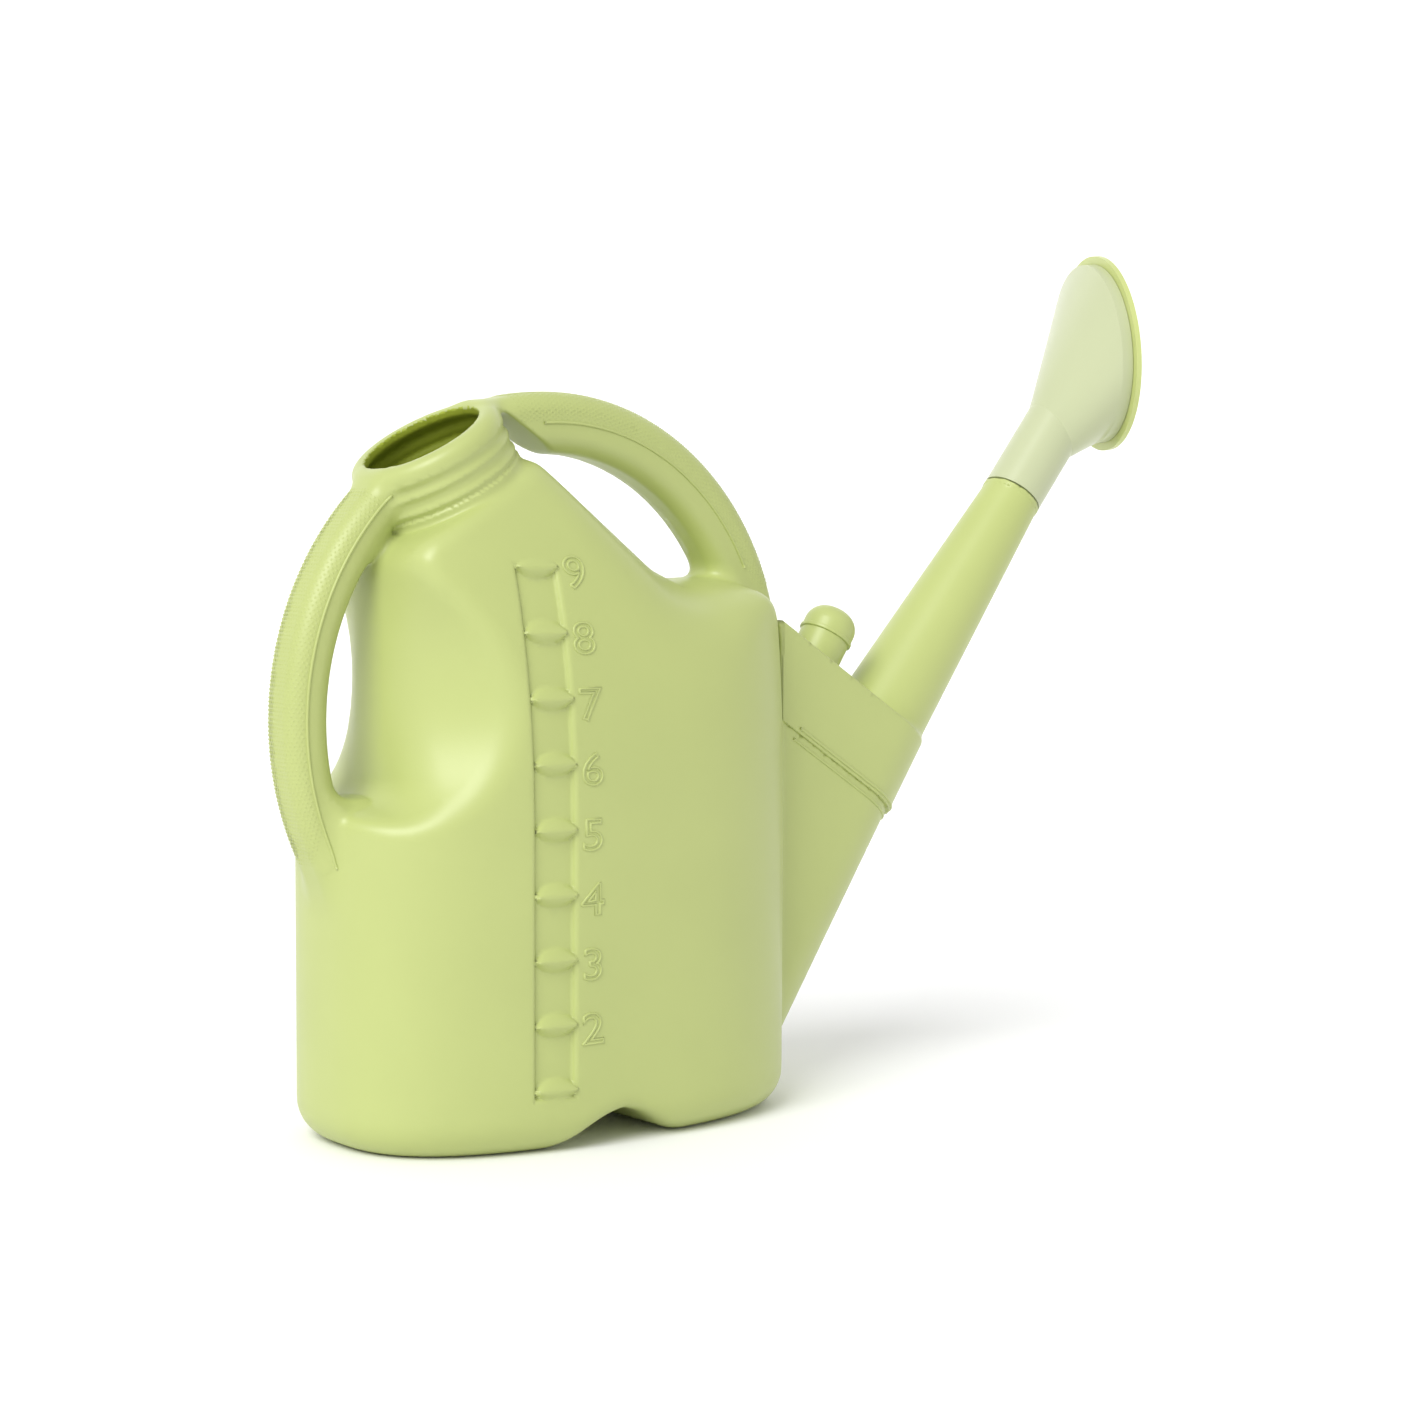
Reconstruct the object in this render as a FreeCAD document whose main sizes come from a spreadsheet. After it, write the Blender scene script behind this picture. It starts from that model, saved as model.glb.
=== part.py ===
import FreeCAD, Part
import Sketcher
import math
import os

# Nine litre moulded plastic watering can.
# Millimetres. +X runs from the rear grip to the spout, +Z is up, and the can
# is symmetric about Y = 0. The origin is the middle of the base, on the floor.

DIMENSIONS = [
    # tank
    ("body_half_length", 134.0),
    ("body_half_width", 77.5),
    ("plan_exponent", 2.57),
    ("wall", 2.5),
    ("foot_round", 20.0),
    ("lean_start", 158.0),
    ("lean_height", 199.0),
    ("ledge_height", 277.5),
    ("ledge_vault", 62.0),
    ("slope_angle", 37.7),
    ("slope_height", 322.0),
    ("slope_vault", 66.0),
    ("ledge_start", 62.0),
    ("front_round", 46.0),
    ("channel_height", 18.0),
    ("channel_half_width", 32.0),
    ("channel_top_half", 11.0),
    ("channel_offset", -3.0),
    ("channel_round", 9.0),
    ("corner_round", 6.0),
    ("ledge_ease", 0.4),
    # hollows beside the rear grip
    ("scoop_x", -143.5),
    ("scoop_z", 227.0),
    ("scoop_radius", 79.0),
    ("scoop_level", 71.0),
    ("scoop_floor_x", -129.0),
    ("scoop_floor_half", 22.0),
    ("scoop_floor_height", 59.0),
    ("scoop_floor_rise", 4.0),
    ("web_half_width", 17.0),
    ("nose_x", -107.0),
    ("hole_bottom", 172.0),
    ("hole_round", 11.0),
    # filler neck
    ("neck_x", -74.7),
    ("neck_z", 347.7),
    ("neck_tilt", 30.0),
    ("neck_length", 31.8),
    ("neck_radius", 39.0),
    ("neck_bore", 35.5),
    ("mouth_radius", 30.9),
    ("mouth_land", 5.0),
    ("lip_radius", 40.0),
    ("lip_round", 6.5),
    ("lip_depth", 9.5),
    ("ring_height", 1.0),
    ("ring_width", 1.8),
    ("ring_pitch", 7.9),
    ("collar_height", 4.0),
    # grips
    ("grip_width", 30.0),
    ("grip_round", 10.0),
    ("grip_wall", 2.5),
    ("rear_grip_x", -1.0),
    ("rear_grip_z", 210.4),
    ("rear_grip_radius", 145.1),
    ("rear_grip_depth", 23.2),
    ("rear_grip_low", -42.0),
    ("rear_grip_high", 60.0),
    ("top_grip_x", -2.0),
    ("top_grip_z", 222.2),
    ("top_grip_radius", 133.0),
    ("top_grip_depth", 31.0),
    ("top_grip_low", 12.5),
    ("top_grip_high", 112.0),
    # outlet wedge and spout
    ("spout_pitch", 57.0),
    ("joint_offset", 240.0),
    ("outlet_half_width", 31.5),
    ("outlet_nose", 106.0),
    ("outlet_rear_x", 100.0),
    ("outlet_foot", 16.0),
    ("rim_depth", 3.0),
    ("window_low", 24.0),
    ("window_high", 172.0),
    ("window_half_width", 26.0),
    ("spigot_inset", 3.7),
    ("spigot_height", 9.0),
    ("gasket_gap", 1.2),
    ("gasket_height", 8.0),
    ("shoulder_overlap", 0.8),
    ("shoulder_height", 43.5),
    ("shoulder_rear_x", 136.5),
    ("tube_base_x", 211.2),
    ("tube_base_z", 177.7),
    ("tube_base_radius", 26.8),
    ("tip_x", 324.1),
    ("tip_z", 316.8),
    ("tip_radius", 16.5),
    ("tip_bore", 11.0),
    ("tip_spigot_radius", 14.4),
    ("tip_spigot_length", 32.0),
    ("tip_bead", 0.7),
    ("tip_bead_height", 2.5),
    ("tube_hollow_share", 0.97),
    ("seal_groove_radius", 12.9),
    ("seal_width", 3.0),
    ("seal_position", 20.0),
    ("seal_radius", 14.6),
    ("post_position", 24.7),
    ("post_radius", 13.8),
    ("post_height", 21.0),
    ("post_bead", 1.1),
    ("post_dome_radius", 14.3),
    ("post_dome_base", 5.0),
    ("post_dome_height", 10.5),
    # rose
    ("rose_turn", -30.0),
    ("sleeve_radius", 17.0),
    ("sleeve_bore", 14.7),
    ("sleeve_length", 47.0),
    ("sleeve_gap", 0.6),
    ("flare_tilt", 22.0),
    ("face_tilt", 50.0),
    ("face_distance", 104.9),
    ("mouth_outer", 51.2),
    ("mouth_depth", 6.0),
    ("rose_wall", 2.2),
    ("face_gap", 0.3),
    ("face_radius", 55.8),
    ("face_rim", 3.0),
    ("face_dome", 8.0),
    ("face_wall", 2.0),
    ("face_ledge", 1.0),
    ("face_skirt", 5.0),
    ("face_fit", 0.08),
    ("jet_radius", 1.1),
    ("jet_pitch", 9.0),
]
JET_RINGS = 5
PLAN_POINTS = 40
LEAN_ANGLES = (0.0, 12.0, 24.0, 36.0, 47.0, 57.0, 66.0)
REACH = 400.0  # longer than anything that a cutting shape has to cross
PAST = 10.0  # how far a cutting shape runs past the piece that it cuts
EDGE_SLACK = 0.1  # how far above the foot an edge may lie and still count as its edge

doc = FreeCAD.newDocument("watering_can")
sheet = doc.addObject("Spreadsheet::Sheet", "dims")
for row, (alias, value) in enumerate(DIMENSIONS, start=1):
    sheet.set("A%d" % row, alias)
    sheet.set("B%d" % row, str(value))
    sheet.setAlias("B%d" % row, alias)
doc.recompute()


def size(alias):
    """One driving dimension, as a number."""
    return float(sheet.get(alias))


def vec(x, y, z):
    return FreeCAD.Vector(x, y, z)


def add_shape(label, shape):
    """A sub-part whose shape is worked out here from the sheet."""
    feature = doc.addObject("Part::Feature", label)
    feature.Label = label
    feature.Shape = shape
    return feature


def add_bound(kind, label, **expressions):
    """A Part primitive whose sizes are bound to the sheet."""
    primitive = doc.addObject("Part::" + kind, label)
    primitive.Label = label
    for name, expression in expressions.items():
        primitive.setExpression(name, expression)
    return primitive


def add_cut(label, base, tool):
    cut = doc.addObject("Part::Cut", label)
    cut.Label = label
    cut.Base = base
    cut.Tool = tool
    return cut


def outline_curves(corners, place):
    """Lines and corner arcs of a closed outline. Each corner is (x, z, radius)."""
    points = [place(x, z) for x, z, radius in corners]
    joints = []
    for index, (x, z, radius) in enumerate(corners):
        here = points[index]
        if radius == 0:
            joints.append((here, here, here))
            continue
        to_before = (points[index - 1] - here).normalize()
        to_after = (points[(index + 1) % len(points)] - here).normalize()
        half = to_before.getAngle(to_after) / 2
        setback = radius / math.tan(half)
        middle = here + (to_before + to_after).normalize() * (radius / math.sin(half) - radius)
        joints.append((here + to_before * setback, middle, here + to_after * setback))
    curves = []
    for index, (start, middle, end) in enumerate(joints):
        if start != end:
            curves.append(Part.Arc(start, middle, end))
        curves.append(Part.LineSegment(end, joints[(index + 1) % len(joints)][0]))
    return curves


def rounded_outline(corners):
    """A closed wire in the XZ plane."""
    curves = outline_curves(corners, lambda x, z: vec(x, 0, z))
    return Part.Wire([curve.toShape() for curve in curves])


def add_turned(label, corners, placement):
    """A body turned about its own Z axis. Each corner is (radius, height, rounding)."""
    body = doc.addObject("PartDesign::Body", label)
    body.Label = label
    planes = {item.Role: item for item in body.Origin.OriginFeatures}
    sketch = body.newObject("Sketcher::SketchObject", label + "_outline")
    sketch.AttachmentSupport = (planes["XZ_Plane"], [""])
    sketch.MapMode = "FlatFace"
    for curve in outline_curves(corners, lambda x, z: vec(x, z, 0)):
        sketch.addGeometry(curve, False)
    turned = body.newObject("PartDesign::Revolution", label + "_turned")
    turned.Profile = sketch
    turned.ReferenceAxis = (sketch, ["V_Axis"])
    turned.Angle = 360.0
    body.Placement = placement
    doc.recompute()
    return body


def slab(wire, half_width):
    """The outline in the XZ plane, extruded both ways along Y."""
    face = Part.Face(wire)
    face.translate(vec(0, -half_width, 0))
    return face.extrude(vec(0, 2 * half_width, 0))


def largest_solid(shape):
    """The piece itself, without slivers left over by a trim."""
    return max(shape.Solids, key=lambda solid: solid.Volume)


# ---------------------------------------------------------------- tank

def plan_wire(half_length, half_width, height):
    """Superellipse plan of the tank at one height."""
    power = 2.0 / size("plan_exponent")
    points = []
    for step in range(PLAN_POINTS):
        angle = 2 * math.pi * step / PLAN_POINTS
        along = math.copysign(abs(math.cos(angle)) ** power, math.cos(angle))
        across = math.copysign(abs(math.sin(angle)) ** power, math.sin(angle))
        points.append(vec(half_length * along, half_width * across, height))
    curve = Part.BSplineCurve()
    curve.interpolate(points, PeriodicFlag=True)
    return Part.Wire(curve.toShape())


def tank_block(inset):
    """Upright sides with a rounded foot, then sides that lean in to the top."""
    half_length = size("body_half_length") - inset
    half_width = size("body_half_width") - inset
    start = size("lean_start")
    foot = Part.Face(plan_wire(half_length, half_width, inset))
    lower = foot.extrude(vec(0, 0, start - inset))
    bottom_edges = [edge for edge in lower.Edges if edge.BoundBox.ZMax < inset + EDGE_SLACK]
    lower = lower.makeFillet(size("foot_round") - inset, bottom_edges)
    sections = []
    for degrees in LEAN_ANGLES:
        angle = math.radians(degrees)
        height = start + size("lean_height") * math.sin(angle)
        sections.append(plan_wire(half_length, half_width * math.cos(angle), height))
    upper = Part.makeLoft(sections, True, False)
    return lower.fuse(upper)


def vault(half_width, rise, crest, pitch):
    """Arched roof whose crest line passes over X = 0 at the height crest."""
    left = vec(0, -half_width, -rise)
    right = vec(0, half_width, -rise)
    arch = Part.Ellipse(left, vec(0, 0, 0), vec(0, 0, -rise))
    deep = -rise - REACH
    upper = Part.Face(Part.Wire(arch.toShape()))
    upper.translate(vec(-REACH, 0, 0))
    lower = Part.makePolygon(
        [left, right, vec(0, half_width, deep), vec(0, -half_width, deep), left])
    lower = Part.Face(lower)
    lower.translate(vec(-REACH, 0, 0))
    body = upper.extrude(vec(2 * REACH, 0, 0)).fuse(lower.extrude(vec(2 * REACH, 0, 0)))
    body.rotate(vec(0, 0, 0), vec(0, 1, 0), pitch)
    body.translate(vec(0, 0, crest))
    return body


def neck_axis():
    tilt = math.radians(size("neck_tilt"))
    return vec(-math.sin(tilt), 0, math.cos(tilt))


def neck_foot():
    """Middle of the neck's foot, on the slanted top of the tank."""
    return vec(size("neck_x"), 0, size("neck_z")) - neck_axis() * size("neck_length")


def tank_profile():
    """Side view of the tank, with the notch that the rear grip spans."""
    half = size("body_half_length")
    foot = neck_foot()
    tilt = math.tan(math.radians(size("neck_tilt")))
    peak_x = foot.x + size("neck_radius")
    rear_z = foot.z + (size("nose_x") - foot.x) * tilt
    peak_z = foot.z + (peak_x - foot.x) * tilt
    hole_round = size("hole_round")
    ledge_top = size("ledge_height") - size("ledge_ease")
    corner = size("corner_round")
    return rounded_outline([
        (-half, 0, 0),
        (-half, size("hole_bottom"), corner),
        (size("nose_x"), size("hole_bottom"), hole_round),
        (size("nose_x"), rear_z, 0),
        (peak_x, peak_z, 0),
        (size("ledge_start"), ledge_top, corner),
        (half, ledge_top, size("front_round")),
        (half, 0, 0),
    ])


def scoop(side, grow):
    """Tapered hollow beside the rear grip, wide outside and narrow inside."""
    level = size("scoop_level")
    web = size("web_half_width")
    mouth_y = level + 2 * PAST
    slope = (size("scoop_radius") - size("scoop_floor_height")) / (level - web)
    rim = Part.Circle(
        vec(size("scoop_x"), side * mouth_y, size("scoop_z")),
        vec(0, 1, 0),
        size("scoop_radius") + slope * (mouth_y - level) + grow,
    )
    floor_z = size("scoop_z") + size("scoop_floor_rise")
    centre = vec(size("scoop_floor_x"), side * (web - grow), floor_z)
    floor = Part.Ellipse(
        centre + vec(0, 0, size("scoop_floor_height") + grow),
        centre + vec(size("scoop_floor_half") + grow, 0, 0),
        centre,
    )
    wires = [Part.Wire(rim.toShape()), Part.Wire(floor.toShape())]
    return Part.makeLoft(wires, True, False)


def base_channel(grow):
    """Hollow across the underside, where fingers tip the can."""
    middle = size("channel_offset")
    wide = size("channel_half_width") + grow
    narrow = size("channel_top_half") + grow
    top = size("channel_height") + grow
    corner = size("channel_round")
    wire = rounded_outline([
        (middle - wide, -PAST, 0),
        (middle - wide, 0.0, 0),
        (middle - narrow, top, corner),
        (middle + narrow, top, corner),
        (middle + wide, 0.0, 0),
        (middle + wide, -PAST, 0),
    ])
    return slab(wire, REACH / 2)


def tank_solid(inset):
    """The tank as a filled shape; a positive inset gives the hollow inside."""
    half_width = size("body_half_width")
    slope_rise = size("slope_vault")
    slope_crest = size("slope_height") - inset / math.cos(math.radians(size("slope_angle")))
    slope_roof = vault(half_width, slope_rise, slope_crest, size("slope_angle"))
    ledge_roof = vault(half_width, size("ledge_vault"), size("ledge_height") - inset, 0.0)
    profile = tank_profile()
    if inset:
        profile = profile.makeOffset2D(-inset)
    solid = tank_block(inset).common(slope_roof.fuse(ledge_roof))
    solid = solid.common(slab(profile, REACH / 2))
    for side in (-1, 1):
        solid = solid.cut(scoop(side, inset))
    return solid.cut(base_channel(inset))


def outlet_window():
    """Opening from the tank into the outlet wedge."""
    half = size("window_half_width")
    low = size("window_low")
    rear = size("body_half_length") - 2 * PAST
    return Part.makeBox(3 * PAST, 2 * half, size("window_high") - low, vec(rear, -half, low))


def neck_opening():
    """Round opening in the tank's top, under the neck."""
    reach = size("neck_length")
    return Part.makeCylinder(
        size("neck_bore"), 2 * reach, neck_foot() - neck_axis() * reach, neck_axis())


# ---------------------------------------------------------------- grips

def grip_sweep(which, inset):
    """Arched grip: a rounded section turned about an axis along Y."""
    centre = vec(size(which + "_grip_x"), 0, size(which + "_grip_z"))
    radius = size(which + "_grip_radius")
    half_depth = size(which + "_grip_depth") / 2 - inset
    half_width = size("grip_width") / 2 - inset
    corner = size("grip_round") - inset
    low = size(which + "_grip_low")
    high = size(which + "_grip_high")
    section = rounded_outline([
        (radius - half_depth, -half_width, corner),
        (radius + half_depth, -half_width, corner),
        (radius + half_depth, half_width, corner),
        (radius - half_depth, half_width, corner),
    ])
    section.rotate(vec(0, 0, 0), vec(1, 0, 0), 90)
    face = Part.Face(section)
    face.rotate(vec(0, 0, 0), vec(0, 1, 0), -low)
    grip = face.revolve(vec(0, 0, 0), vec(0, 1, 0), low - high)
    if which == "rear":
        grip = grip.mirror(vec(0, 0, 0), vec(1, 0, 0))
    grip.translate(centre)
    return grip


def make_grip(which, obstacles):
    """A hollow grip, trimmed where it runs into the tank and the neck."""
    grip = grip_sweep(which, 0.0).cut(grip_sweep(which, size("grip_wall")))
    for obstacle in obstacles:
        grip = grip.cut(obstacle)
    return largest_solid(grip)


# ---------------------------------------------------------------- filler neck

def neck_placement(below_mouth):
    """On the neck's axis, pointing out of the mouth."""
    origin = vec(size("neck_x"), 0, size("neck_z")) - neck_axis() * below_mouth
    return FreeCAD.Placement(origin, FreeCAD.Rotation(vec(0, 1, 0), -size("neck_tilt")))


def neck_corners():
    """The neck's outer side from the lip down to the foot."""
    length = size("neck_length")
    barrel = size("neck_radius")
    ridge = barrel + size("ring_height")
    half_ring = size("ring_width") / 2
    lip = size("lip_radius")
    corners = [(lip, 0, size("lip_round")), (lip, -size("lip_depth"), 0)]
    for number in (2, 3):
        middle = -number * size("ring_pitch")
        corners.append((barrel, middle + 2 * half_ring, 0))
        corners.append((ridge, middle + half_ring, 0))
        corners.append((ridge, middle - half_ring, 0))
        corners.append((barrel, middle - 2 * half_ring, 0))
    collar_top = size("collar_height") - length
    corners.append((barrel, collar_top + half_ring, 0))
    corners.append((ridge, collar_top, 0))
    corners.append((ridge, -length, 0))
    return corners


def make_filler_neck():
    """Rolled lip, ring steps and foot collar, with a land inside the mouth."""
    bore = size("neck_bore")
    mouth = size("mouth_radius")
    land = -size("mouth_land")
    inner = [(bore, -size("neck_length"), 0), (bore, land, 0), (mouth, land, 0), (mouth, 0, 0)]
    return add_turned("filler_neck", neck_corners() + inner, neck_placement(0))


def filled_neck():
    """The neck without its bore, which the grips are trimmed to."""
    outline = rounded_outline(neck_corners() + [(0, -size("neck_length"), 0), (0, 0, 0)])
    neck = Part.Face(outline).revolve(vec(0, 0, 0), vec(0, 0, 1), 360)
    neck.Placement = neck_placement(0)
    return neck


# ---------------------------------------------------------------- outlet and spout

def spout_vector(along, across, rise):
    """A place given along the joint plane, across it in Y, and out of it."""
    pitch = math.radians(size("spout_pitch"))
    forward = vec(math.sin(pitch), 0, -math.cos(pitch))
    upward = vec(math.cos(pitch), 0, math.sin(pitch))
    return forward * along + vec(0, across, 0) + upward * rise


def nose_prism(inset, rise_from, rise_to):
    """Round-nosed prism square to the joint plane, running back past the tank."""
    half = size("outlet_half_width") - inset
    nose = size("outlet_nose") - inset
    centre = nose - half
    back = -REACH / 2
    low = size("joint_offset") + rise_from
    start = spout_vector(back, -half, low)
    corner_a = spout_vector(centre, -half, low)
    tip = spout_vector(nose, 0, low)
    corner_b = spout_vector(centre, half, low)
    end = spout_vector(back, half, low)
    wire = Part.Wire([
        Part.makeLine(start, corner_a),
        Part.Arc(corner_a, tip, corner_b).toShape(),
        Part.makeLine(corner_b, end),
        Part.makeLine(end, start),
    ])
    direction = spout_vector(0, 0, rise_to - rise_from)
    return Part.Face(wire).extrude(direction)


def ahead_of(plane_x):
    """Everything forward of a vertical plane across the can."""
    return Part.makeBox(REACH, REACH, 2 * REACH, vec(plane_x, -REACH / 2, -REACH / 2))


def spout_cone(inset, start, stop):
    """The tapered tube as a filled cone between two shares of its length."""
    base = vec(size("tube_base_x"), 0, size("tube_base_z"))
    tip = vec(size("tip_x"), 0, size("tip_z"))
    base_radius = size("tube_base_radius")
    change = size("tip_radius") - base_radius
    axis = tip - base
    low = base + axis * start
    return Part.makeCone(
        base_radius + change * start - inset,
        base_radius + change * stop - inset,
        axis.Length * (stop - start), low, axis)


def tip_placement(along):
    """On the tube's axis beyond the end of the cone, local X facing down."""
    axis = vec(size("tip_x") - size("tube_base_x"), 0, size("tip_z") - size("tube_base_z"))
    axis.normalize()
    origin = vec(size("tip_x"), 0, size("tip_z")) + axis * along
    lean = math.degrees(math.atan2(axis.x, axis.z))
    return FreeCAD.Placement(origin, FreeCAD.Rotation(vec(0, 1, 0), lean))


def make_outlet(tank):
    """Wedge on the front of the tank, with the spigot that the spout covers."""
    wall = size("wall")
    inset = size("spigot_inset")
    rear = size("shoulder_rear_x") + wall
    root = ahead_of(size("outlet_rear_x"))
    rim = size("rim_depth")
    wedge = nose_prism(0, -REACH, 0).common(root).cut(tank)
    spigot = nose_prism(inset, 0, size("spigot_height")).common(ahead_of(rear))
    lining = nose_prism(inset, -rim, 0).common(root).cut(tank)
    hollow = nose_prism(wall, -REACH, -rim)
    throat = nose_prism(inset + wall, -PAST, REACH).common(ahead_of(rear + wall))
    below = Part.makeBox(
        2 * REACH, REACH, REACH, vec(-REACH, -REACH / 2, size("outlet_foot") - REACH))
    body = wedge.fuse(spigot).fuse(lining)
    return largest_solid(body.cut(hollow).cut(throat).cut(below))


def make_gasket():
    """Soft ring that fills the gap between the spigot and the shoulder."""
    inset = size("spigot_inset")
    gap = size("gasket_gap")
    rear = size("shoulder_rear_x") + size("wall")
    height = size("gasket_height")
    ring = nose_prism(inset - gap, 0, height).common(ahead_of(rear - gap))
    return ring.cut(nose_prism(inset, -PAST, height + PAST).common(ahead_of(rear)))


def make_shoulder(gasket_outside):
    """Flat-topped box that seats over the outlet, open to the tube above."""
    overlap = size("shoulder_overlap")
    wall = size("wall")
    rear = size("shoulder_rear_x")
    height = size("shoulder_height")
    hollow_inset = size("spigot_inset") - size("gasket_gap")
    box = nose_prism(-overlap, 0, height).common(ahead_of(rear - size("gasket_gap")))
    hollow = nose_prism(hollow_inset, -PAST, height - wall)
    hollow = hollow.common(ahead_of(rear + wall - size("gasket_gap")))
    box = box.cut(hollow)
    box = box.cut(gasket_outside)
    return box.cut(spout_cone(wall, 0.0, 1.0))


def make_tube(shoulder_envelope):
    """Tapered tube with a bead and a spigot at its tip for the rose."""
    bead_height = size("tip_bead_height")
    groove = size("seal_position")
    outside = spout_cone(0, 0.0, 1.0)
    bead = Part.makeCylinder(size("tip_radius") + size("tip_bead"), bead_height)
    bead.Placement = tip_placement(-bead_height)
    spigot = Part.makeCylinder(size("tip_spigot_radius"), size("tip_spigot_length"))
    spigot.Placement = tip_placement(0)
    channel = Part.makeCylinder(size("sleeve_radius") + 1, size("seal_width"))
    channel = channel.cut(Part.makeCylinder(size("seal_groove_radius"), size("seal_width")))
    channel.Placement = tip_placement(groove)
    passage = Part.makeCylinder(size("tip_bore"), 2 * size("tip_spigot_length"))
    passage.Placement = tip_placement(-PAST)
    tube = outside.fuse(bead).fuse(spigot).cut(channel).cut(passage)
    tube = tube.cut(spout_cone(size("wall"), 0.0, size("tube_hollow_share")))
    tube = tube.cut(shoulder_envelope)
    return largest_solid(tube)


def make_rose_post():
    """Stub on the shoulder that parks the rose: post, bead and dome."""
    origin = spout_vector(
        size("post_position"), 0, size("joint_offset") + size("shoulder_height"))
    turn = FreeCAD.Rotation(vec(0, 1, 0), 90.0 - size("spout_pitch"))
    post = size("post_radius")
    head = size("post_dome_radius")
    bead = size("post_bead")
    neck = size("post_height")
    crown = neck + size("post_dome_base") + size("post_dome_height")
    corners = [
        (0, 0, 0),
        (post, 0, 0),
        (post, neck - bead, 0),
        (post + bead, neck - bead, bead / 2),
        (post + bead, neck + bead, bead / 2),
        (head, neck + bead, 0),
        (head, crown, size("post_dome_height")),
        (0, crown, 0),
    ]
    return add_turned("rose_post", corners, FreeCAD.Placement(origin, turn))


def make_rose_seal():
    """Ring in the groove of the spout tip, under the rose's sleeve."""
    outer = add_bound(
        "Cylinder", "seal_outer",
        Radius="dims.seal_radius", Height="dims.seal_width - 2 * dims.face_fit")
    inner = add_bound(
        "Cylinder", "seal_inner",
        Radius="dims.seal_groove_radius + dims.face_fit", Height="dims.seal_width")
    outer.Placement = tip_placement(size("seal_position") + size("face_fit"))
    inner.Placement = tip_placement(size("seal_position"))
    return add_cut("rose_seal", outer, inner)


# ---------------------------------------------------------------- rose

def rose_placement():
    """The sleeve's frame: Z along the spout tip, turned on the tip."""
    turn = FreeCAD.Placement(
        vec(0, 0, 0), FreeCAD.Rotation(vec(0, 0, 1), size("rose_turn")))
    return tip_placement(0).multiply(turn)


def face_placement():
    """The rose's face: Z out of the face, at the middle of the mouth."""
    tilt = FreeCAD.Placement(
        vec(0, 0, size("face_distance")),
        FreeCAD.Rotation(vec(0, 1, 0), size("face_tilt")))
    return rose_placement().multiply(tilt)


def flare(inset):
    """Straight-sided cone from the sleeve's slanted end to the round mouth."""
    radius = size("sleeve_radius") - inset
    tilt = math.radians(size("flare_tilt"))
    centre = vec(0, 0, size("sleeve_length"))
    start = Part.Ellipse(
        centre + vec(radius, 0, -radius * math.tan(tilt)),
        centre + vec(0, radius, 0),
        centre,
    )
    mouth_tilt = FreeCAD.Rotation(vec(0, 1, 0), size("face_tilt"))
    normal = mouth_tilt.multVec(vec(0, 0, 1))
    middle = vec(0, 0, size("face_distance")) - normal * size("mouth_depth")
    mouth = Part.Circle()
    mouth.Radius = size("mouth_outer") - inset
    mouth_edge = mouth.toShape()
    mouth_edge.Placement = FreeCAD.Placement(middle, mouth_tilt)
    wires = [Part.Wire(start.toShape()), Part.Wire(mouth_edge)]
    return Part.makeLoft(wires, True, True)


def rose_land(inset, extra):
    """Short round land at the mouth that the face plugs into."""
    depth = size("mouth_depth")
    land = Part.makeCylinder(size("mouth_outer") - inset, depth + extra, vec(0, 0, -depth))
    land.Placement = FreeCAD.Placement(
        vec(0, 0, size("face_distance")),
        FreeCAD.Rotation(vec(0, 1, 0), size("face_tilt"))).multiply(land.Placement)
    return land


def sleeve_rod(radius, start, tilt_trim):
    """A rod along the sleeve, cut at its upper end by the slanted plane."""
    length = size("sleeve_length")
    rod = Part.makeCylinder(radius, length + 3 * PAST - start, vec(0, 0, start))
    box = Part.makeBox(REACH, REACH, REACH, vec(-REACH / 2, -REACH / 2, 0))
    box.rotate(vec(0, 0, 0), vec(0, 1, 0), tilt_trim)
    box.translate(vec(0, 0, length))
    return rod.cut(box)


def make_rose_body():
    """Sleeve and flared cone in one piece, hollow from end to end."""
    wall = size("rose_wall")
    tilt = size("flare_tilt")
    outside = sleeve_rod(size("sleeve_radius"), size("sleeve_gap"), tilt)
    outside = outside.fuse(flare(0)).fuse(rose_land(0, 0))
    inside = sleeve_rod(size("sleeve_bore"), -PAST, tilt)
    inside = inside.fuse(flare(wall)).fuse(rose_land(wall, PAST))
    body = outside.cut(inside)
    body.Placement = rose_placement()
    return body


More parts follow.
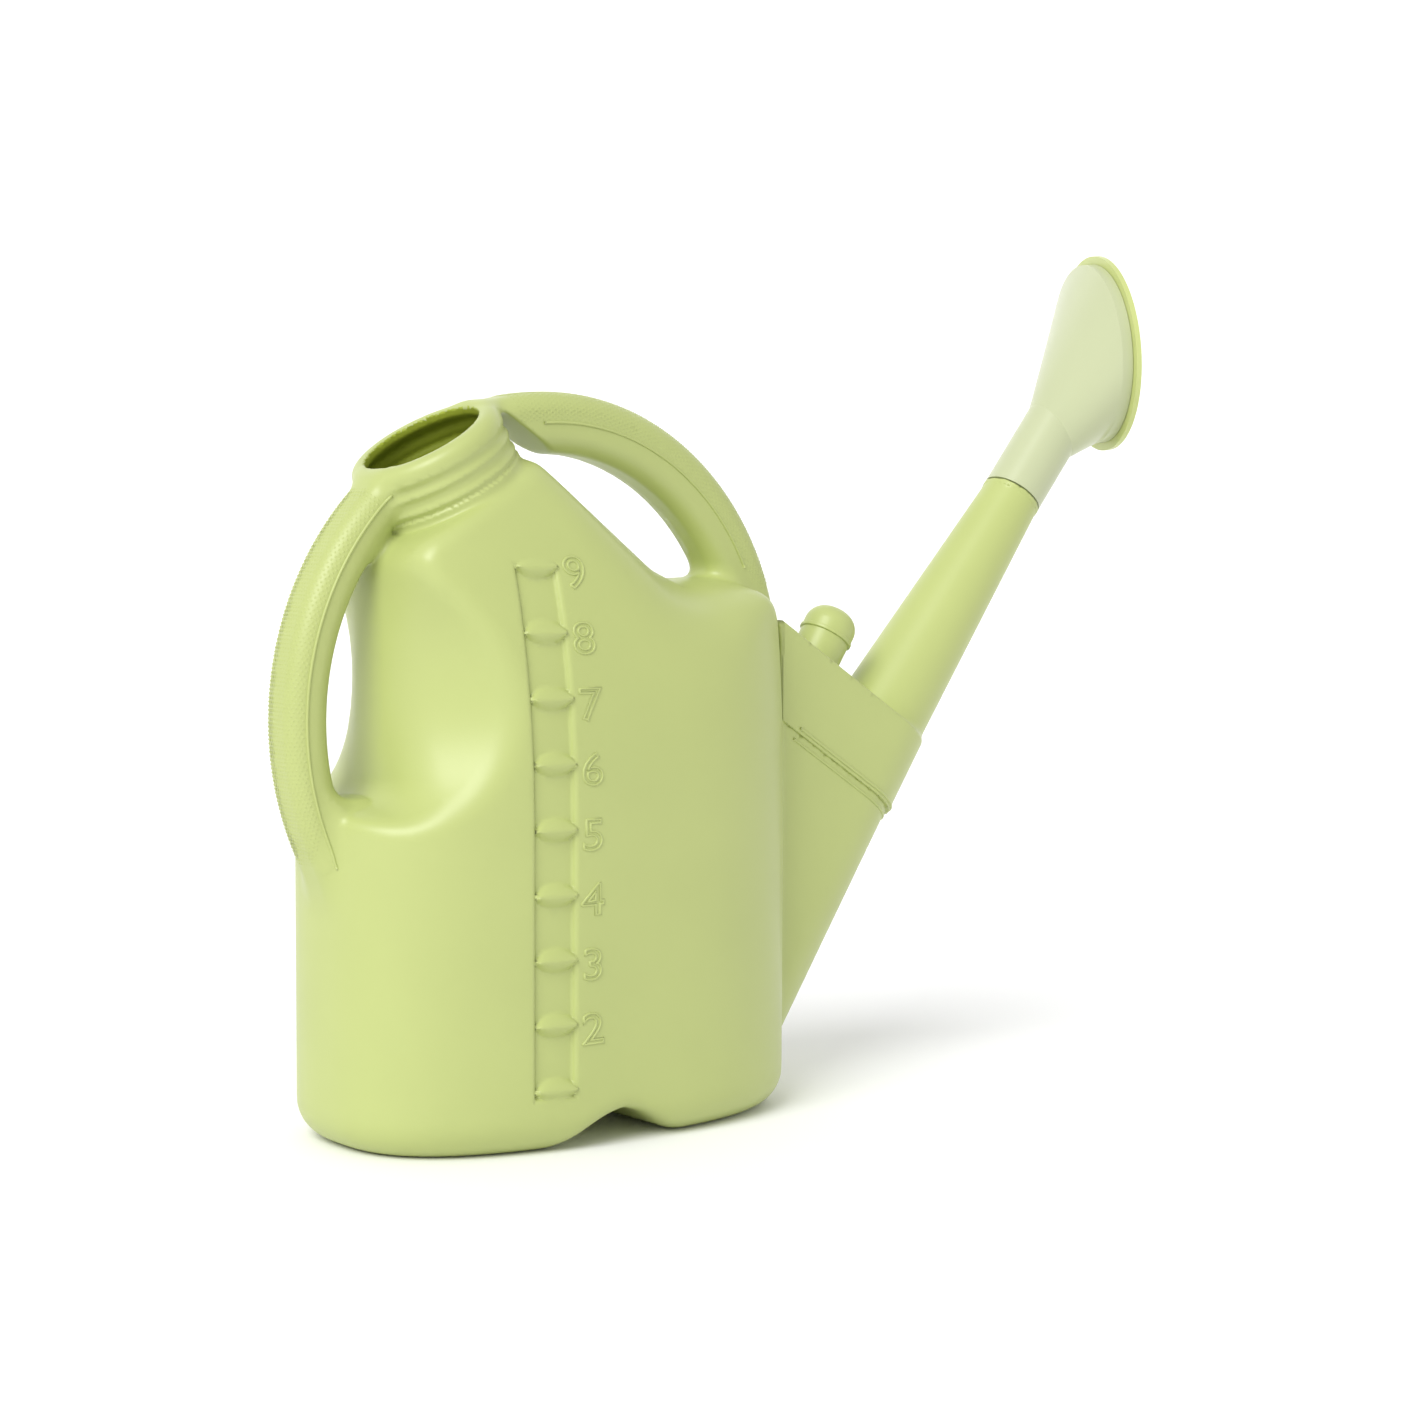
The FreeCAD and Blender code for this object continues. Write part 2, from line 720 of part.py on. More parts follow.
def make_rose_face():
    """Domed plate: rim, plug skirt and rings of jets."""
    body = doc.addObject("PartDesign::Body", "rose_face")
    body.Label = "rose_face"
    planes = {item.Role: item for item in body.Origin.OriginFeatures}
    gap = size("face_gap")
    rim = gap + size("face_rim")
    wall = size("face_wall")
    edge = size("face_radius")
    plug = size("mouth_outer") - size("rose_wall") - size("face_fit")
    dome = size("face_dome")
    crown = rim + dome
    shoulder = plug - size("face_ledge")
    sketch = body.newObject("Sketcher::SketchObject", "face_outline")
    sketch.AttachmentSupport = (planes["XZ_Plane"], [""])
    sketch.MapMode = "FlatFace"
    outer_radius = (shoulder ** 2 + dome ** 2) / (2 * dome)
    corners = [
        vec(0, crown, 0), vec(shoulder, rim, 0), vec(edge, rim, 0), vec(edge, gap, 0),
        vec(plug, gap, 0), vec(plug, -size("face_skirt"), 0),
        vec(plug - wall, -size("face_skirt"), 0), vec(plug - wall, rim - wall, 0),
        vec(0, crown - wall, 0),
    ]
    lines = []
    for start, end in zip(corners[1:-2], corners[2:-1]):
        lines.append(Part.LineSegment(start, end))
    lines.append(Part.LineSegment(corners[-1], corners[0]))
    half = math.asin(shoulder / outer_radius) / 2
    inner_radius = ((plug - wall) ** 2 + dome ** 2) / (2 * dome)
    inner_half = math.asin((plug - wall) / inner_radius) / 2
    top_arc = Part.Arc(
        corners[0],
        vec(outer_radius * math.sin(half), crown - outer_radius * (1 - math.cos(half)), 0),
        corners[1])
    inside_drop = inner_radius * (1 - math.cos(inner_half))
    bottom_arc = Part.Arc(
        corners[-2],
        vec(inner_radius * math.sin(inner_half), crown - wall - inside_drop, 0),
        corners[-1])
    for geometry in [top_arc] + lines + [bottom_arc]:
        sketch.addGeometry(geometry, False)
    rim_edge = 2
    sketch.addConstraint(Sketcher.Constraint("Vertical", rim_edge))
    revolution = body.newObject("PartDesign::Revolution", "face_dish")
    revolution.Profile = sketch
    revolution.ReferenceAxis = (sketch, ["V_Axis"])
    revolution.Angle = 360.0
    doc.recompute()
    body.Placement = face_placement()
    add_jets(body, planes)
    return body


def add_jets(body, planes):
    """Rings of jets through the dome, six more holes in each ring outward."""
    centre = body.newObject("Sketcher::SketchObject", "jet_middle_outline")
    centre.AttachmentSupport = (planes["XY_Plane"], [""])
    centre.MapMode = "FlatFace"
    centre.addGeometry(Part.Circle(vec(0, 0, 0), vec(0, 0, 1), size("jet_radius")), False)
    drill = body.newObject("PartDesign::Pocket", "jet_middle")
    drill.Profile = centre
    drill.Type = "ThroughAll"
    drill.Reversed = True
    for ring in range(1, JET_RINGS + 1):
        place = vec(ring * size("jet_pitch"), 0, 0)
        outline = body.newObject("Sketcher::SketchObject", "jet_outline_%d" % ring)
        outline.AttachmentSupport = (planes["XY_Plane"], [""])
        outline.MapMode = "FlatFace"
        outline.addGeometry(Part.Circle(place, vec(0, 0, 1), size("jet_radius")), False)
        outline.addConstraint(Sketcher.Constraint("Radius", 0, size("jet_radius")))
        outline.setExpression("Constraints[0]", "dims.jet_radius")
        jet = body.newObject("PartDesign::Pocket", "jet_%d" % ring)
        jet.Profile = outline
        jet.Type = "ThroughAll"
        jet.Reversed = True
        doc.recompute()
        pattern = body.newObject("PartDesign::PolarPattern", "jet_ring_%d" % ring)
        pattern.Originals = [jet]
        pattern.Axis = (outline, ["N_Axis"])
        pattern.Angle = 360.0
        pattern.Occurrences = 6 * ring
        body.Tip = pattern
        doc.recompute()


# ---------------------------------------------------------------- assembly

neck_envelope = filled_neck()
tank_outside = tank_solid(0.0)
tank_inside = tank_solid(size("wall"))
tank_shape = tank_outside.cut(tank_inside).cut(neck_opening()).cut(outlet_window())
shoulder_envelope = nose_prism(
    -size("shoulder_overlap"), 0, size("shoulder_height")).common(ahead_of(size("outlet_rear_x")))
gasket_shape = make_gasket()

nodes = [
    add_shape("tank_shell", largest_solid(tank_shape)),
    make_filler_neck(),
    add_shape("rear_grip", make_grip("rear", [tank_outside, neck_envelope])),
    add_shape("top_grip", make_grip("top", [tank_outside, neck_envelope])),
    add_shape("outlet_wedge", make_outlet(tank_outside)),
    add_shape("spout_gasket", gasket_shape),
    add_shape("spout_shoulder", make_shoulder(gasket_shape)),
    add_shape("spout_tube", make_tube(shoulder_envelope)),
    make_rose_post(),
    make_rose_seal(),
    add_shape("rose_body", make_rose_body()),
    make_rose_face(),
]
doc.recompute()

for item in doc.Objects:
    if "Invalid" in item.State or "Error" in item.State:
        raise RuntimeError("%s did not rebuild: %s" % (item.Label, item.State))
for node in nodes:
    if node.Shape.isNull() or not node.Shape.isValid():
        raise RuntimeError("%s has no valid shape" % node.Label)

os.makedirs("parts", exist_ok=True)
for node in nodes:
    node.Shape.exportStep("parts/%s.step" % node.Label)
    box = node.Shape.BoundBox
    print("%-16s solids %d volume %8.0f x %.1f %.1f y %.1f %.1f z %.1f %.1f" % (
        node.Label, len(node.Shape.Solids), node.Shape.Volume,
        box.XMin, box.XMax, box.YMin, box.YMax, box.ZMin, box.ZMax))
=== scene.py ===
import math

import bpy
import numpy as np
import openvdb
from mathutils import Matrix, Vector


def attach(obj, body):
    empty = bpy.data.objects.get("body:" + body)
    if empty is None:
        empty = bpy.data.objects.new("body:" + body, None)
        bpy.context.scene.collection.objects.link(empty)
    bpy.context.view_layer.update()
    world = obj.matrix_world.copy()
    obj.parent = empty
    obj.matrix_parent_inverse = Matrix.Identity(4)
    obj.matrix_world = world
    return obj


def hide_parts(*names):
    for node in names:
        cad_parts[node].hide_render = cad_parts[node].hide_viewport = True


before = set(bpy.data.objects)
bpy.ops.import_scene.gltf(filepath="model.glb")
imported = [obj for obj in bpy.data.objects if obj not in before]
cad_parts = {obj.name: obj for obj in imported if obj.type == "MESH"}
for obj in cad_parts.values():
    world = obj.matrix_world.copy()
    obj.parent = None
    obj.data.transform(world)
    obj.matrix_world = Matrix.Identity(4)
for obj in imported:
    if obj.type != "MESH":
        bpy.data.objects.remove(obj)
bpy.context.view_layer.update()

# The shape fields below are in millimetres, in the part's own frame.
MM = 0.001
TANK_HALF_LENGTH = 134.0
TANK_HALF_WIDTH = 77.5
PLAN_POWER = 2.57
FOOT_ROUND = 20.0
WALL = 2.5
LEAN_START, LEAN_HEIGHT = 158.0, 199.0
SLOPE_ANGLE = math.radians(37.7)
SLOPE_CREST, SLOPE_RISE = 322.0, 66.0
LEDGE_CREST, LEDGE_RISE = 277.5, 62.0
FRONT_ROUND = 46.0
LEDGE_START = 62.0
CHANNEL_X, CHANNEL_HALF, CHANNEL_TOP, CHANNEL_HEIGHT = -3.0, 32.0, 11.0, 18.0
NOSE_X, NOTCH_BOTTOM, NOTCH_ROUND = -107.0, 172.0, 11.0
SCOOP_RIM_X, SCOOP_RIM_Z, SCOOP_RIM_RADIUS, SCOOP_RIM_Y = -143.5, 227.0, 79.0, 71.0
SCOOP_FLOOR_X, SCOOP_FLOOR_Z, SCOOP_FLOOR_Y = -129.0, 231.0, 17.0
SCOOP_FLOOR_HALF_X, SCOOP_FLOOR_HALF_Z = 22.0, 59.0
MOUTH_X, MOUTH_Z, NECK_TILT = -74.7, 347.7, math.radians(30.0)
MOUTH_RADIUS, NECK_RADIUS, NECK_LENGTH = 30.9, 38.8, 31.8
LIP_RING_RADIUS, LIP_ROUND = 33.5, 6.5
NECK_RIDGES = (-8.5, -16.0, -24.0)
GRIP_WIDTH, GRIP_CORNER = 30.0, 10.0
REAR_GRIP = (-1.0, 210.4, 156.7, 23.2)
TOP_GRIP = (-2.0, 222.2, 148.5, 31.0)
REAR_GRIP_FRONT_X, REAR_GRIP_LOW, REAR_GRIP_BELOW_LIP = -78.0, 95.0, 3.0
TOP_GRIP_REAR_X, TOP_GRIP_BELOW_LIP, TOP_GRIP_ABOVE_SHOULDER = -45.0, 1.0, 0.5
LUG_X, LUG_Z, LUG_HALF_X, LUG_HALF_Z, LUG_HALF_Y, LUG_ROUND = -124.5, 158.0, 4.0, 9.0, 10.0, 5.5
LUG_BLEND, REAR_GRIP_BLEND, TOP_GRIP_BLEND = 4, 9, 11
OUTLET_BLEND, GRIP_ROOT_BLEND, NECK_BLEND = 5, 7, 2.5
SPOUT_PITCH = math.radians(57.0)
JOINT_RISE, OUTLET_HALF, OUTLET_NOSE = 240.0, 31.5, 106.0
SHOULDER_TOP, SHOULDER_REAR_X, SHOULDER_OVERLAP = 283.5, 118.0, 1.2
SHOULDER_GAP, SHOULDER_REAR_WALL, SPIGOT_REAR_X = 0.5, 7.5, 139.5
TIP_BEAD_PROUD, TIP_BEAD_BELOW, TIP_BEAD_HALF = 0.6, 1.4, 1.3
ROSE_SPIGOT_RADIUS, ROSE_SPIGOT_LENGTH, ROSE_SPIGOT_ROOT = 14.4, 32.0, 8.0
TIP_BORE, TIP_BORE_LENGTH = 11.0, 12.0
OUTLET_BEAD_BELOW, SHOULDER_BEAD_ABOVE = 5.0, 1.5
TUBE_BASE = (211.2, 177.7)
TUBE_TIP = (324.1, 316.8)
TUBE_BASE_RADIUS, TUBE_TIP_RADIUS = 26.8, 16.5
LITRE_PITCH = 31.7
STRIP_X, STRIP_HALF, STRIP_LOW, STRIP_HIGH, STRIP_DEPTH = -46.5, 10.5, 28.5, 285.0, 2.6
NUMERAL_X, NUMERAL_WIDEN, NUMERAL_HEIGHT, NUMERAL_DROP, NUMERAL_LINE = -32.0, 1.25, 15.5, 10.5, 0.6
DOT_PITCH, DOT_RADIUS, DOT_HEIGHT = 2.35, 0.8, 0.45


# ------------------------------------------------------------ field helpers

def smooth_min(a, b, radius):
    """Union with a soft hollow where the two surfaces meet."""
    blend = np.maximum(radius - np.abs(a - b), 0) / radius
    return np.minimum(a, b) - blend * blend * radius / 4


def smooth_max(a, b, radius):
    """Intersection with a soft edge."""
    return -smooth_min(-a, -b, radius)


def round_max(a, b, radius):
    """Intersection whose edge is an arc of this radius."""
    beyond = np.hypot(np.maximum(a + radius, 0), np.maximum(b + radius, 0))
    return np.minimum(-radius, np.maximum(a, b)) + beyond


def step(value, start, stop):
    """Eases from 0 at start to 1 at stop."""
    share = np.clip((value - start) / (stop - start), 0, 1)
    return share * share * (3 - 2 * share)


# ------------------------------------------------------------ tank moulding

def side_field(x, y, z):
    """Upright superellipse sides that lean in above the shoulder line."""
    lean = np.clip((z - LEAN_START) / LEAN_HEIGHT, 0, 0.97)
    half_width = TANK_HALF_WIDTH * np.sqrt(1 - lean * lean)
    along = np.abs(x) / TANK_HALF_LENGTH + 1e-4
    across = np.abs(y) / half_width + 1e-4
    size = (along ** PLAN_POWER + across ** PLAN_POWER) ** (1 / PLAN_POWER)
    grow_x = (along / size) ** (PLAN_POWER - 1) / TANK_HALF_LENGTH
    grow_y = (across / size) ** (PLAN_POWER - 1) / half_width
    return (size - 1) / np.hypot(grow_x, grow_y)


def roof_field(x, y, z, crest, angle, rise):
    """Arched roof: an elliptical barrel whose crest slopes down towards +X."""
    height = (z - crest) * math.cos(angle) + x * math.sin(angle)
    across = y / TANK_HALF_WIDTH
    up = np.maximum(height / rise + 1, 0)
    size = np.hypot(across, up) + 1e-4
    steepness = np.hypot(across / TANK_HALF_WIDTH, up / rise) / size
    return (size - 1) / np.maximum(steepness, 1e-4)


def scoop_field(x, y, z):
    """Hollow beside the rear grip, an oval that narrows towards the middle."""
    depth = np.maximum((np.abs(y) - SCOOP_FLOOR_Y) / (SCOOP_RIM_Y - SCOOP_FLOOR_Y), -0.1)
    centre_x = SCOOP_FLOOR_X + (SCOOP_RIM_X - SCOOP_FLOOR_X) * depth
    centre_z = SCOOP_FLOOR_Z + (SCOOP_RIM_Z - SCOOP_FLOOR_Z) * depth
    half_x = SCOOP_FLOOR_HALF_X + (SCOOP_RIM_RADIUS - SCOOP_FLOOR_HALF_X) * depth
    half_z = SCOOP_FLOOR_HALF_Z + (SCOOP_RIM_RADIUS - SCOOP_FLOOR_HALF_Z) * depth
    along = (x - centre_x) / half_x
    up = (z - centre_z) / half_z
    size = np.hypot(along, up) + 1e-4
    steepness = np.hypot(along / half_x, up / half_z) / size
    wall = (size - 1) / np.hypot(steepness, 0.5 / half_x)
    return smooth_max(wall, SCOOP_FLOOR_Y - np.abs(y), 8)


def channel_field(x, z):
    """Finger hollow across the underside."""
    slope = (CHANNEL_HALF - CHANNEL_TOP) / CHANNEL_HEIGHT
    flank = (np.abs(x - CHANNEL_X) - CHANNEL_HALF + slope * z) / math.hypot(1, slope)
    return smooth_max(flank, z - CHANNEL_HEIGHT, 12)


def neck_place(x, y, z):
    """Distance from the neck's axis, and height along it from the mouth."""
    along_x, along_z = x - MOUTH_X, z - MOUTH_Z
    height = along_z * math.cos(NECK_TILT) - along_x * math.sin(NECK_TILT)
    sideways = along_x * math.cos(NECK_TILT) + along_z * math.sin(NECK_TILT)
    return np.hypot(sideways, y), height


def tank_field(x, y, z):
    """The tank without its neck and grips, filled."""
    tank = round_max(side_field(x, y, z), -z, FOOT_ROUND)
    roof = smooth_min(
        roof_field(x, y, z, SLOPE_CREST, SLOPE_ANGLE, SLOPE_RISE),
        roof_field(x, y, z, LEDGE_CREST, 0.0, LEDGE_RISE), 12)
    tank = smooth_max(tank, roof, 9)
    below_ledge = z - LEDGE_CREST - np.maximum(LEDGE_START - x, 0)
    front = round_max(x - TANK_HALF_LENGTH, below_ledge, FRONT_ROUND)
    tank = smooth_max(tank, front, 8)
    neck_height = neck_place(x, y, z)[1]
    tank = smooth_max(tank, neck_height + NECK_LENGTH, 8)
    tank = smooth_max(tank, -scoop_field(x, y, z), 7)
    notch = round_max(x - NOSE_X, NOTCH_BOTTOM - z, NOTCH_ROUND)
    tank = smooth_max(tank, -notch, 14)
    return smooth_max(tank, -channel_field(x, z), 9)


def litre_scale(x, y, z, tank):
    """Sunk strip on the near flank with a ridged mark at each litre."""
    strip = np.maximum(
        np.abs(x - STRIP_X) - STRIP_HALF,
        np.abs(z - (STRIP_LOW + STRIP_HIGH) / 2) - (STRIP_HIGH - STRIP_LOW) / 2)
    hollow = smooth_max(np.maximum(strip, y), -(tank + STRIP_DEPTH), 1.2)
    sunk = smooth_max(tank, -hollow, 3.0)
    litre = np.clip(np.round(z / LITRE_PITCH), 1, 9)
    above = np.abs(z - litre * LITRE_PITCH)
    along = (x - STRIP_X - 1.0) / 11.0
    lens = 6.3 * np.sqrt(np.maximum(1 - along * along, 0.01))
    height = 4.2 * np.maximum(1 - (above / lens) ** 1.5, -1)
    height = height - 30.0 * np.maximum(np.abs(along) - 1, 0)
    mark = np.maximum(tank + STRIP_DEPTH - height, y)
    return smooth_min(sunk, mark * 0.75, 0.8)


def grip_field(x, y, z, grip):
    """Rounded bar bent round an arc in the middle plane."""
    centre_x, centre_z, outer, depth = grip
    across = np.abs(np.hypot(x - centre_x, z - centre_z) - outer + depth / 2)
    over = across - depth / 2 + GRIP_CORNER
    side = np.abs(y) - GRIP_WIDTH / 2 + GRIP_CORNER
    corner = np.hypot(np.maximum(over, 0), np.maximum(side, 0))
    return corner + np.minimum(np.maximum(over, side), 0) - GRIP_CORNER


def rise_place(x, z):
    """Distance along the spout joint, and height out of it."""
    along = x * math.sin(SPOUT_PITCH) - z * math.cos(SPOUT_PITCH)
    rise = x * math.cos(SPOUT_PITCH) + z * math.sin(SPOUT_PITCH)
    return along, rise


def outlet_section(x, y, z):
    """Round-nosed section that the outlet and the shoulder share."""
    along = rise_place(x, z)[0]
    return np.hypot(np.maximum(along - OUTLET_NOSE + OUTLET_HALF, 0), y) - OUTLET_HALF


def outlet_field(x, y, z):
    """Wedge in front of the tank, up to the joint with the spout."""
    section = outlet_section(x, y, z)
    rise = rise_place(x, z)[1]
    wedge = round_max(section, rise - JOINT_RISE, 1.2)
    wedge = smooth_max(wedge, 14.0 - z, 10)
    spigot = np.maximum(section + 3.7, rise - JOINT_RISE - 8.0)
    spigot = np.maximum(spigot, SPIGOT_REAR_X - x)
    return np.maximum(np.minimum(wedge, spigot), 100.0 - x)


def neck_field(radius, height):
    """Barrel with ring ridges, a foot collar and a rolled lip."""
    outer = NECK_RADIUS + 1.2 * step(height, -26.6, -28.2)
    for ridge in NECK_RIDGES:
        outer = outer + 1.1 * np.exp(-((height - ridge) / 1.8) ** 2)
    barrel = np.maximum(radius - outer, height + LIP_ROUND)
    barrel = np.maximum(barrel, -NECK_LENGTH - 2.5 - height)
    lip = np.hypot(radius - LIP_RING_RADIUS, height + LIP_ROUND) - LIP_ROUND
    return smooth_min(barrel, lip, 1.5)


def bore_field(radius, height):
    """Passage through the neck, wider below the mouth's land."""
    inner = MOUTH_RADIUS + 5.0 * step(height, -3.5, -10.0)
    for ridge in NECK_RIDGES[1:]:
        inner = inner + 0.9 * np.exp(-((height - ridge) / 1.9) ** 2)
    return np.maximum(radius - inner, -NECK_LENGTH - 12.0 - height)


def cavity_field(x, y, z):
    """Space inside the tank and the neck."""
    tank = tank_field(x, y, z) + WALL + STRIP_DEPTH
    return smooth_min(tank, bore_field(*neck_place(x, y, z)), 8)


def can_field(x, y, z):
    """The whole blow moulding: tank, neck, grips and outlet, hollow inside."""
    tank = tank_field(x, y, z)
    radius, height = neck_place(x, y, z)
    rear = grip_field(x, y, z, REAR_GRIP)
    rear = np.maximum(np.maximum(rear, x - REAR_GRIP_FRONT_X), REAR_GRIP_LOW - z)
    rear = smooth_max(rear, height + REAR_GRIP_BELOW_LIP, 3)
    top = grip_field(x, y, z, TOP_GRIP)
    top = np.maximum(top, TOP_GRIP_REAR_X - x)
    top = smooth_max(top, height + TOP_GRIP_BELOW_LIP, 3)
    above_shoulder = SHOULDER_TOP + TOP_GRIP_ABOVE_SHOULDER - rise_place(x, z)[1]
    top = smooth_max(top, above_shoulder, 2)
    lug = np.maximum(np.abs(x - LUG_X) - LUG_HALF_X, np.abs(z - LUG_Z) - LUG_HALF_Z)
    lug = np.hypot(np.maximum(lug, 0), np.maximum(np.abs(y) - LUG_HALF_Y, 0)) - LUG_ROUND
    solid = litre_scale(x, y, z, tank)
    solid = smooth_min(solid, lug, LUG_BLEND)
    solid = smooth_min(solid, rear, REAR_GRIP_BLEND)
    solid = smooth_min(solid, top, TOP_GRIP_BLEND)
    solid = smooth_min(solid, outlet_field(x, y, z), OUTLET_BLEND)
    neck = neck_field(radius, height)
    grip_roots = smooth_min(neck, np.minimum(rear, top), GRIP_ROOT_BLEND)
    solid = np.minimum(smooth_min(solid, neck, NECK_BLEND), grip_roots)
    return np.maximum(solid, -cavity_field(x, y, z))


# ------------------------------------------------------------ spout

def tube_place(x, y, z):
    """Distance from the tube's axis, and distance along it from its base."""
    run_x, run_z = TUBE_TIP[0] - TUBE_BASE[0], TUBE_TIP[1] - TUBE_BASE[1]
    length = math.hypot(run_x, run_z)
    along_x, along_z = x - TUBE_BASE[0], z - TUBE_BASE[1]
    along = (along_x * run_x + along_z * run_z) / length
    sideways = (along_x * run_z - along_z * run_x) / length
    return np.hypot(sideways, y), along, length


def spout_field(x, y, z):
    """Shoulder and tapered tube, with the spigot that carries the rose."""
    rise = rise_place(x, z)[1]
    behind = np.maximum(SHOULDER_GAP - tank_field(x, y, z), SHOULDER_REAR_X - x)
    shoulder = round_max(outlet_section(x, y, z) - SHOULDER_OVERLAP, rise - SHOULDER_TOP, 2.0)
    shoulder = round_max(shoulder, behind, 1.0)
    radius, along, length = tube_place(x, y, z)
    outer = TUBE_BASE_RADIUS + (TUBE_TIP_RADIUS - TUBE_BASE_RADIUS) * along / length
    tube = np.maximum(radius - outer, along - length)
    solid = smooth_min(shoulder, tube, 6)
    solid = np.maximum(solid, JOINT_RISE - 1.0 - rise)
    bead = np.abs(along - length + TIP_BEAD_BELOW) - TIP_BEAD_HALF
    bead = np.maximum(radius - TUBE_TIP_RADIUS - TIP_BEAD_PROUD, bead)
    ends = np.maximum(along - length - ROSE_SPIGOT_LENGTH, length - ROSE_SPIGOT_ROOT - along)
    spigot = np.maximum(radius - ROSE_SPIGOT_RADIUS, ends)
    solid = np.minimum(np.minimum(solid, bead), spigot)
    inside = smooth_max(radius - outer + WALL, along - length + 4.0, 2)
    inside = np.maximum(inside, 12.0 - along)
    box = np.maximum(outlet_section(x, y, z) + WALL, rise - SHOULDER_TOP + WALL)
    box = np.maximum(box, behind + SHOULDER_REAR_WALL)
    tip_bore = np.maximum(radius - TIP_BORE, length - TIP_BORE_LENGTH - along)
    inside = np.minimum(smooth_min(inside, box, 4), tip_bore)
    return np.maximum(solid, -inside)


# ------------------------------------------------------------ meshing

def slope_of(field, points, reach):
    """Direction in which a field grows, at each point."""
    grads = []
    for axis in range(3):
        shift = np.zeros(3)
        shift[axis] = reach
        ahead, behind = points + shift, points - shift
        grads.append(field(*ahead.T) - field(*behind.T))
    return np.stack(grads, axis=1) / (2 * reach)


def settle(field, points, rounds=3):
    """Moves points onto the surface where a field is zero."""
    for _ in range(rounds):
        slope = slope_of(field, points, 0.15)
        square = np.maximum((slope ** 2).sum(axis=1), 0.05)
        shift = -(field(*points.T) / square)[:, None] * slope
        points = points + np.clip(shift, -1.5, 1.5)
    return points


def skin(name, field, low, high, voxel, adaptivity):
    """Mesh of the surface where a field is zero, with normals from the field."""
    axes = [np.arange(a, b + voxel, voxel, dtype=np.float32) for a, b in zip(low, high)]
    slabs = []
    for part in np.array_split(axes[0], max(1, len(axes[0]) // 24)):
        x, y, z = np.meshgrid(part, axes[1], axes[2], indexing="ij")
        slabs.append(field(x, y, z).astype(np.float32))
    band = 3 * voxel
    grid = openvdb.FloatGrid(band)
    grid.copyFromArray(np.clip(np.concatenate(slabs), -band, band))
    points, triangles, quads = grid.convertToPolygons(0.0, adaptivity)
    points = settle(field, points.astype(float) * voxel + np.array(low, float))
    faces = quads.tolist() + triangles.tolist()
    mesh = bpy.data.meshes.new(name)
    mesh.from_pydata((points * MM).tolist(), [], faces)
    mesh.polygons.foreach_set("use_smooth", [True] * len(mesh.polygons))
    normals = slope_of(field, points, 0.35)
    normals /= np.maximum(np.linalg.norm(normals, axis=1), 1e-6)[:, None]
    mesh.normals_split_custom_set_from_vertices(normals.tolist())
    piece = bpy.data.objects.new(name, mesh)
    bpy.context.scene.collection.objects.link(piece)
    return piece


can = skin("can_moulding", can_field, (-164, -82, -4), (232, 82, 376), 1.4, 0.014)
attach(can, "can")
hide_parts("tank_shell", "filler_neck", "rear_grip", "top_grip", "outlet_wedge")
spout = skin("spout_moulding", spout_field, (130, -36, 140), (352, 36, 350), 1.2, 0.012)
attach(spout, "can")
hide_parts("spout_shoulder", "spout_tube")


# ------------------------------------------------------------ raised details

def add_mesh(name, points, faces):
    """A smooth mesh in millimetres that moves with the can."""
    mesh = bpy.data.meshes.new(name)
    mesh.from_pydata((np.asarray(points) * MM).tolist(), [], faces)
    mesh.polygons.foreach_set("use_smooth", [True] * len(mesh.polygons))
    piece = bpy.data.objects.new(name, mesh)
    bpy.context.scene.collection.objects.link(piece)
    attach(piece, "can")
    return piece


def grip_points(grip, angles, wraps):
    """Points on a grip: angle along the arc, and distance round its section."""
    centre_x, centre_z, outer, _ = grip
    flat = GRIP_WIDTH / 2 - GRIP_CORNER
    quarter = GRIP_CORNER * math.pi / 2
    turn = np.clip(np.abs(wraps) - flat, 0, quarter) / GRIP_CORNER
    side = np.minimum(np.abs(wraps), flat) + GRIP_CORNER * np.sin(turn)
    drop = GRIP_CORNER * (1 - np.cos(turn)) + np.maximum(np.abs(wraps) - flat - quarter, 0)
    distance = outer - drop
    return np.stack([
        centre_x + distance * np.cos(angles),
        np.sign(wraps) * side,
        centre_z + distance * np.sin(angles)], axis=1)


def on_surface(field, points, slack):
    return np.abs(field(*points.T)) < slack


def add_dots(name, grip, start, stop, reach):
    """Hexagonal field of small domes over a grip's crown."""
    rows = np.arange(math.radians(start), math.radians(stop), DOT_PITCH * 0.87 / grip[2])
    spots = []
    for index, angle in enumerate(rows):
        wraps = np.arange(-reach + (index % 2) * DOT_PITCH / 2, reach, DOT_PITCH)
        spots.append(grip_points(grip, np.full(len(wraps), angle), wraps))
    spots = np.concatenate(spots)
    spots = spots[on_surface(can_field, spots, 0.25)]
    normals = slope_of(can_field, spots, 0.3)
    normals /= np.linalg.norm(normals, axis=1)[:, None]
    across = np.cross(normals, (0.3, 0.9, 0.31))
    across /= np.linalg.norm(across, axis=1)[:, None]
    along = np.cross(normals, across)
    points, faces = [], []
    sides = 6
    for spot, normal, u, v in zip(spots, normals, across, along):
        first = len(points)
        for turn in range(sides):
            angle = 2 * math.pi * turn / sides
            ring = u * math.cos(angle) + v * math.sin(angle)
            points.append(spot + ring * DOT_RADIUS - normal * 0.1)
            faces.append((first + turn, first + (turn + 1) % sides, first + sides))
        points.append(spot + normal * DOT_HEIGHT)
    return add_mesh(name, points, faces)


